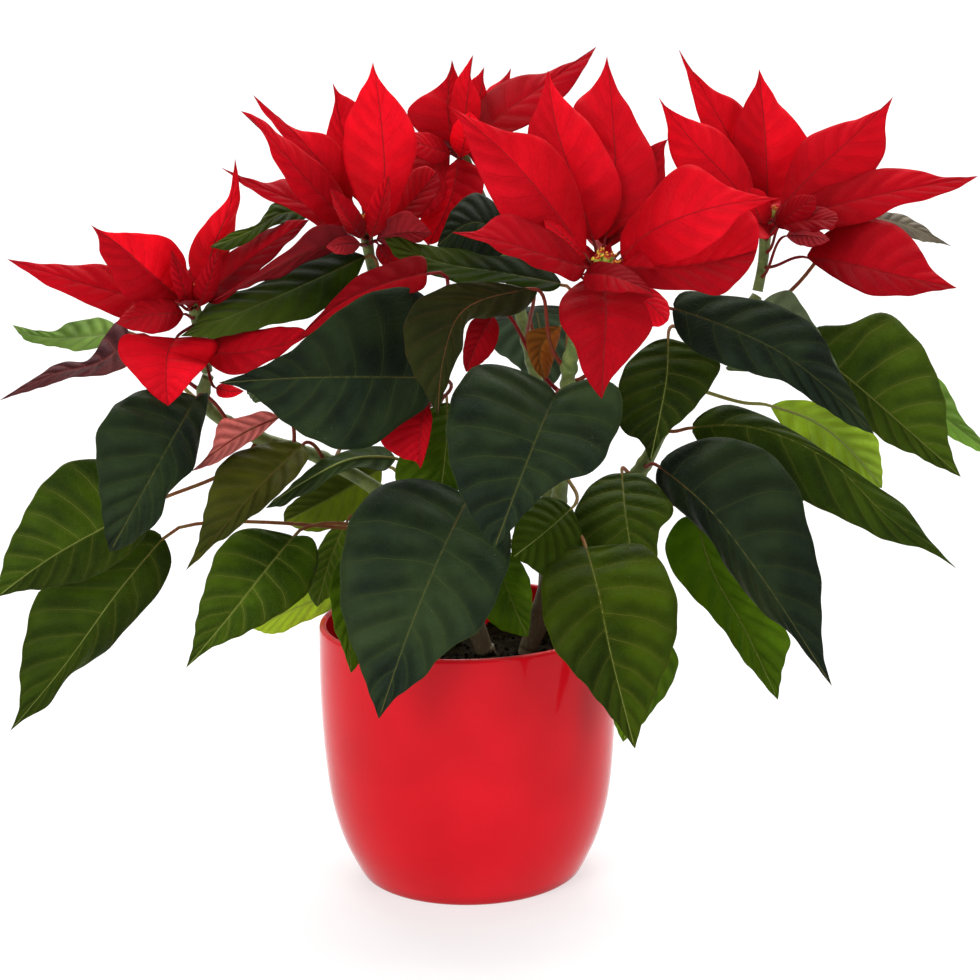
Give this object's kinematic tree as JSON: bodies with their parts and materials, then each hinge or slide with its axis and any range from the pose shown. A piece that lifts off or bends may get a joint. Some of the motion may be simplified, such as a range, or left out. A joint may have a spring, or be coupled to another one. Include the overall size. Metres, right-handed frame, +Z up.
{
  "type": "potted poinsettia",
  "caption": "Flowering house plant with red bracts and green leaves on a branching stem, growing in soil in a glossy bellied red cover pot that stands on its flat base.",
  "frame": {"origin": "centre of the pot's flat underside, on the surface the pot stands on", "axes": "+Z up along the pot's axis, -Y towards the viewer, +X to the viewer's right"},
  "size_m": [0.4721, 0.3156, 0.3885],
  "materials": {
    "red_glaze": "gloss",
    "potting_soil": "matte",
    "stem_green": "satin",
    "bract_red": "satin",
    "cup_green": "satin",
    "leaf_bronze": "satin",
    "leaf_bronze_dark": "satin",
    "leaf_brown": "satin",
    "leaf_dark": "satin",
    "leaf_dark_lit": "satin",
    "leaf_dry": "satin",
    "leaf_grey": "satin",
    "leaf_lime": "satin",
    "leaf_lit": "satin",
    "leaf_lit_front": "satin",
    "leaf_mid": "satin",
    "leaf_pale": "satin",
    "leaf_pink": "satin",
    "leaf_red_dark": "satin"
  },
  "bodies": {
    "root": {"cover_pot": "red_glaze", "potting_soil": "potting_soil", "stem": "stem_green", "head_A": "bract_red", "head_B": "bract_red", "head_C": "bract_red", "head_D": "bract_red", "head_E": "bract_red", "cyathia_A": "cup_green", "cyathia_B": "cup_green", "cyathia_C": "cup_green", "cyathia_D": "cup_green", "cyathia_E": "cup_green", "leaf_01": "leaf_pale", "leaf_02": "leaf_red_dark", "leaf_03": "leaf_dark", "leaf_04": "leaf_mid", "leaf_05": "leaf_mid", "leaf_06": "leaf_bronze", "leaf_07": "leaf_mid", "leaf_08": "leaf_lime", "leaf_10": "leaf_dark", "leaf_11": "leaf_bronze_dark", "leaf_12": "leaf_dark", "leaf_13": "leaf_dark", "leaf_14": "leaf_lit", "leaf_15": "leaf_lit", "leaf_16": "leaf_lit", "leaf_17": "leaf_mid", "leaf_18": "leaf_lit_front", "leaf_19": "leaf_lit", "leaf_20": "leaf_mid", "leaf_21": "leaf_dark", "leaf_22": "leaf_lit", "leaf_23": "leaf_mid", "leaf_24": "leaf_lime", "leaf_25": "leaf_dark", "leaf_26": "leaf_grey", "leaf_27": "leaf_mid", "leaf_28": "leaf_pale", "leaf_29": "leaf_dark_lit", "leaf_30": "leaf_dark", "leaf_31": "leaf_dark_lit", "leaf_32": "leaf_mid", "leaf_33": "leaf_brown", "leaf_34": "leaf_lit", "leaf_35": "leaf_lime", "leaf_09": "leaf_lit", "leaf_36": "leaf_mid", "leaf_dry": "leaf_dry", "bract_leaf_1": "leaf_pink", "bract_leaf_2": "bract_red", "bract_leaf_3": "bract_red", "bract_leaf_4": "bract_red", "leaf_far_1": "leaf_mid", "leaf_far_2": "leaf_dark", "leaf_far_3": "leaf_mid", "leaf_far_4": "leaf_lit", "leaf_far_5": "leaf_lit", "leaf_far_6": "leaf_mid"}
  },
  "joints": []
}
